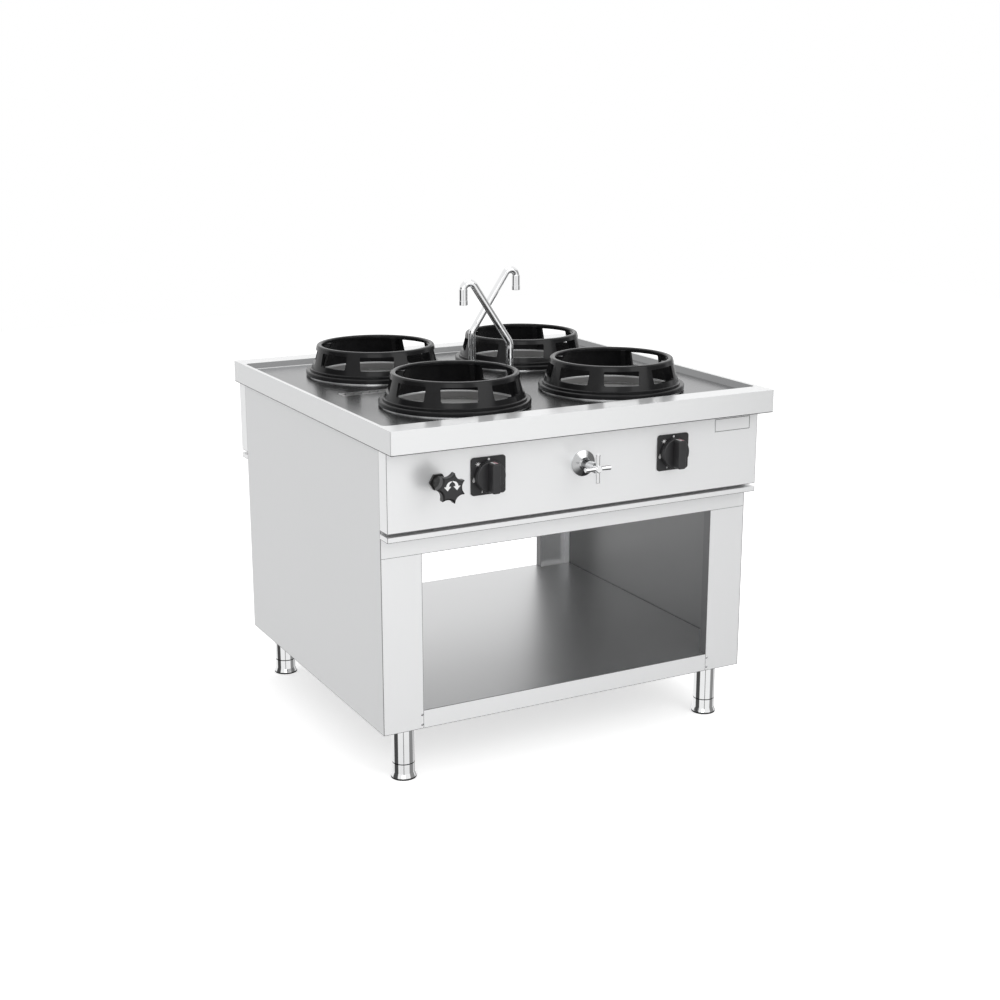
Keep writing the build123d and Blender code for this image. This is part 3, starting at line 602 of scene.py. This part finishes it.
def makePlateMarks():
    look = plateMarks
    x, y, radius = look["off"]
    bright = makePrint([moved(roundOutline(radius), x, y), moved(sparkOutline(), *look["spark"])], "white")
    dull = makePrint([moved(flameOutline, *look["flame"]),
                      moved(flameOutline, *look["smallFlame"], look["smallGrow"])], "grey")
    return joined([bright, dull], "plateMarks")


# The pointer printed on the upper end of each knob's grip: a white stripe and a red one
knobPointer = {"width": 0.0045, "middle": 0.0029, "inner": 0.4925, "outer": 0.5115, "top": 0.0340}


def makeKnobPointer():
    look = knobPointer
    half, long = look["width"] / 2, (look["outer"] - look["inner"]) / 2
    corners = ((-1, -1), (1, -1), (1, 1), (-1, 1))
    stripes = []
    for key, way in (("white", -1), ("red", 1)):
        outline = [(way * look["middle"] + x * half, y * long, "VECTOR") for x, y in corners]
        stripes.append(makePrint([outline], key))
    return joined(stripes, "knobPointer")


# Two curved arrows on each star handwheel, the left one drawn and the right one its mirror image
starArrow = [(-0.0009, 0.0176, "VECTOR"), (-0.0080, 0.0157, "AUTO"), (-0.0128, 0.0112, "AUTO"),
             (-0.0148, 0.0058, "VECTOR"), (-0.0196, 0.0058, "VECTOR"), (-0.0112, -0.0036, "VECTOR"),
             (-0.0026, 0.0058, "VECTOR"), (-0.0072, 0.0058, "VECTOR"), (-0.0070, 0.0092, "AUTO"),
             (-0.0050, 0.0128, "AUTO"), (-0.0009, 0.0160, "VECTOR")]


def makeStarArrows():
    mirrored = [(-x, y, run) for x, y, run in reversed(starArrow)]
    arrows = makePrint([starArrow, mirrored], "white")
    arrows.name = "starArrows"
    return arrows


marksMade = makePlateMarks()
pointerMade = makeKnobPointer()
arrowsMade = makeStarArrows()
for side in ("front", "back"):
    for leftRight in (-1, 1):
        seen = "left" if leftRight < 0 else "right"
        corner = seen if side == "front" else ("right" if leftRight < 0 else "left")
        plateX = leftRight * controls["plateX"]
        marks = placed(copied(marksMade, "plateMarks_" + side + "_" + corner),
                       facing(side, plateX, controls["plateFace"], controls["height"]))
        finishPiece(marks, "cabinet")
        pointer = placed(copied(pointerMade, "knobPointer_" + side + "_" + corner),
                         facing(side, plateX, (knobPointer["inner"] + knobPointer["outer"]) / 2,
                                controls["height"] + knobPointer["top"])
                         @ Matrix.Rotation(math.radians(-90), 4, "X"))
        finishPiece(pointer, "knob_" + side + "_" + corner)
    arrows = placed(copied(arrowsMade, "starArrows_" + side),
                    facing(side, -controls["starX"], controls["starFace"], controls["height"]))
    finishPiece(arrows, "star_handwheel_" + side)
for spare in (marksMade, pointerMade, arrowsMade):
    bpy.data.objects.remove(spare)
print("stage: control marks")


# The bare plate at the right of the front panel, with a dark border a margin in from its edge
namePlate = {"width": 0.104, "height": 0.034, "x": 0.416, "z": 0.7670, "face": 0.471, "thick": 0.0012,
             "margin": 0.0014, "border": 0.0014}


def makeNamePlate():
    look = namePlate
    letGo()
    bpy.ops.mesh.primitive_plane_add(size=1.0)
    plate = bpy.context.object
    plate.name = "barePlate"
    plate.scale = (look["width"], look["height"], 1.0)
    bpy.ops.object.transform_apply(scale=True)
    paint(plate, "front")
    plate.data.materials.append(finishes["border"])
    bpy.ops.object.mode_set(mode="EDIT")
    bpy.ops.mesh.select_all(action="SELECT")
    bpy.ops.mesh.extrude_region_move(TRANSFORM_OT_translate={"value": (0, 0, look["thick"])})
    bpy.ops.mesh.inset(thickness=look["margin"], depth=0.0)
    bpy.ops.mesh.inset(thickness=look["border"], depth=0.0)
    bpy.ops.object.mode_set(mode="OBJECT")
    for face in plate.data.polygons:
        fromEdge = min(look["width"] / 2 - abs(face.center.x), look["height"] / 2 - abs(face.center.y))
        if look["margin"] < fromEdge < look["margin"] + look["border"]:
            face.material_index = 1
    placed(plate, facing("front", look["x"], look["face"], look["z"]))
    finishPiece(plate, "cabinet")


makeNamePlate()
print("stage: bare plate")


# Cross-recess screws that hold the bottom rails to the posts
railScrews = {"outline": ((0.0032, -0.0002), (0.0032, 0.0001), (0.0029, 0.0005), (0.0022, 0.0010),
                          (0.0012, 0.00133), (0.0004, 0.0014)), "steps": 32, "smooth": 40.0,
              "slot": (0.0036, 0.0007, 0.0018), "slotTurns": (20.0, 110.0),
              "x": 0.394, "out": 0.431, "heights": (0.139, 0.163)}


def makeRailScrews():
    look = railScrews
    head = turned(look["outline"], "screwHead", look["steps"])
    for turn in look["slotTurns"]:
        letGo()
        bpy.ops.mesh.primitive_cube_add(size=1.0, location=(0, 0, look["outline"][-1][1]))
        cutter = bpy.context.object
        cutter.scale = look["slot"]
        cutter.rotation_euler.z = math.radians(turn)
        applyPlace(cutter)
        addModifier(head, "BOOLEAN", {"operation": "DIFFERENCE", "solver": "EXACT", "object": cutter})
        bpy.data.objects.remove(cutter)
    paint(head, "rose")
    smoothed(head, look["smooth"])
    heads = []
    for side in ("front", "back"):
        for x in (-look["x"], look["x"]):
            for z in look["heights"]:
                heads.append(placed(copied(head, "railScrew"), facing(side, x, look["out"], z)))
    bpy.data.objects.remove(head)
    screws = finishPiece(joined(heads, "crossScrews"), "cabinet")
    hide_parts("rail_screws")


makeRailScrews()
print("stage: rail screws")


# Aerator sleeve on each spout's nozzle, with its dark screen inside
aerator = {"outline": ((0.0080, 0.0006), (0.0088, 0.0), (0.0106, 0.0), (0.0112, 0.0006), (0.0112, 0.0104),
                       (0.0108, 0.0110), (0.01052, 0.0110), (0.01052, 0.0009)), "steps": 48,
           "smooth": 30.0, "screen": 0.0081, "x": -0.126, "y": -0.100, "middleY": -0.019, "low": 1.045,
           "drop": 0.0012}


def makeAerators():
    look = aerator
    made = turned(look["outline"], "aerator", look["steps"])
    paint(made, "chrome")
    made.data.materials.append(finishes["bonnet"])
    for face in made.data.polygons:
        if all(made.data.vertices[at].co.xy.length < look["screen"] for at in face.vertices):
            face.material_index = 1
    smoothed(made, look["smooth"])
    for side, sign in (("front", 1), ("back", -1)):
        place = (sign * look["x"], sign * look["y"] + look["middleY"], look["low"] - look["drop"])
        piece = placed(copied(made, "aerator_" + side), Matrix.Translation(place))
        finishPiece(piece, "spout_" + side)
    bpy.data.objects.remove(made)


makeAerators()
print("stage: aerators")


# Floor, light and camera. The soft dark cards that metal mirrors: turn and half width in degrees, depth
studio = {"floorSize": 14.0, "floor": (0.84, 0.84, 0.84), "lift": 0.56, "world": 0.72, "gloss": 0.96,
          "cards": ((166.0, 27.0, 0.97), (248.0, 4.0, 0.8), (332.0, 27.0, 0.75), (20.0, 12.0, 0.6)),
          "cardTop": 0.30, "cardSlope": 3.0, "cardDepth": 0.95,
          "under": -0.38, "underSlope": 3.0, "underDepth": 0.9}


def makeFloor():
    letGo()
    bpy.ops.mesh.primitive_plane_add(size=studio["floorSize"])
    floor = bpy.context.object
    floor.name = "studioFloor"
    finish = Finish("studioFloor")
    camera, through = finish.add("ShaderNodeLightPath", out=("Is Camera Ray", "Is Transmission Ray"))
    lift = (camera + through).clamp() * studio["lift"]
    paper = finish.add("ShaderNodeBsdfDiffuse", None, {"Color": studio["floor"]})
    glow = finish.add("ShaderNodeEmission", None, {"Color": (1, 1, 1), "Strength": lift})
    both = finish.add("ShaderNodeAddShader", None, {0: paper, 1: glow})
    finish.add("ShaderNodeOutputMaterial", None, {0: both}, out=())
    floor.data.materials.append(finish.material)
    floor.visible_glossy = False  # metal mirrors the studio's own level and its dark cards instead


def makeWorld():
    look = studio
    world = bpy.data.worlds.new("studio")
    bpy.context.scene.world = world
    world.use_nodes = True
    finish = Finish("studio", world.node_tree)
    camera, glossy, through = finish.add(
        "ShaderNodeLightPath", out=("Is Camera Ray", "Is Glossy Ray", "Is Transmission Ray"))
    x, y, z = finish.split("direction")
    flat = (x * x + y * y) ** 0.5 + 0.0001  # never zero
    dark = 0.0
    for turn, half, depth in look["cards"]:
        facingCard = x / flat * math.cos(math.radians(turn)) + y / flat * math.sin(math.radians(turn))
        edge = math.cos(math.radians(half))
        dark = ((facingCard - edge) * (look["cardSlope"] / (1.0 - edge))).clamp() * depth + dark
    cards = (dark * (z < look["cardTop"])).clamp()
    under = ((look["under"] - z) * look["underSlope"]).clamp()
    glossLevel = (1.0 - cards * look["cardDepth"]) * (1.0 - under * look["underDepth"]) * look["gloss"]
    seen = (camera + through).clamp()
    strength = seen + (1.0 - seen) * (glossy * glossLevel + (1.0 - glossy) * look["world"])
    back = finish.add("ShaderNodeBackground", None, {"Color": (1, 1, 1), "Strength": strength})
    finish.add("ShaderNodeOutputWorld", None, {0: back}, out=())


# Each lamp's place, size and power
lamps = {"key": ((1.4, -3.6, 2.9), 2.4, 34.0), "left": ((-1.9, -3.3, 1.9), 1.8, 16.0),
         "top": ((0.2, 0.6, 3.2), 1.8, 16.0)}
lampAim = (0, 0, 0.6)


def makeLamps():
    for name, (place, size, power) in lamps.items():
        letGo()
        bpy.ops.object.light_add(type="AREA", location=place)
        lamp = bpy.context.object
        lamp.name = name + "Lamp"
        lamp.data.size = size
        lamp.data.energy = power
        aim = Vector(lampAim) - Vector(place)
        lamp.rotation_euler = aim.to_track_quat("-Z", "Y").to_euler()


photoCamera = {"place": (-1.8153, -3.4684, 1.5522), "yaw": -28.104, "pitch": 14.77, "lens": 56.71,
               "sensor": 36.0}


def makeCamera():
    look = photoCamera
    letGo()
    bpy.ops.object.camera_add(location=look["place"],
                              rotation=(math.radians(90.0 - look["pitch"]), 0, math.radians(look["yaw"])))
    camera = bpy.context.object
    camera.data.sensor_width = look["sensor"]
    camera.data.lens = look["lens"]
    bpy.context.scene.camera = camera


makeFloor()
makeWorld()
makeLamps()
makeCamera()
bpy.context.scene.view_settings.view_transform = "Standard"
print("stage: studio")
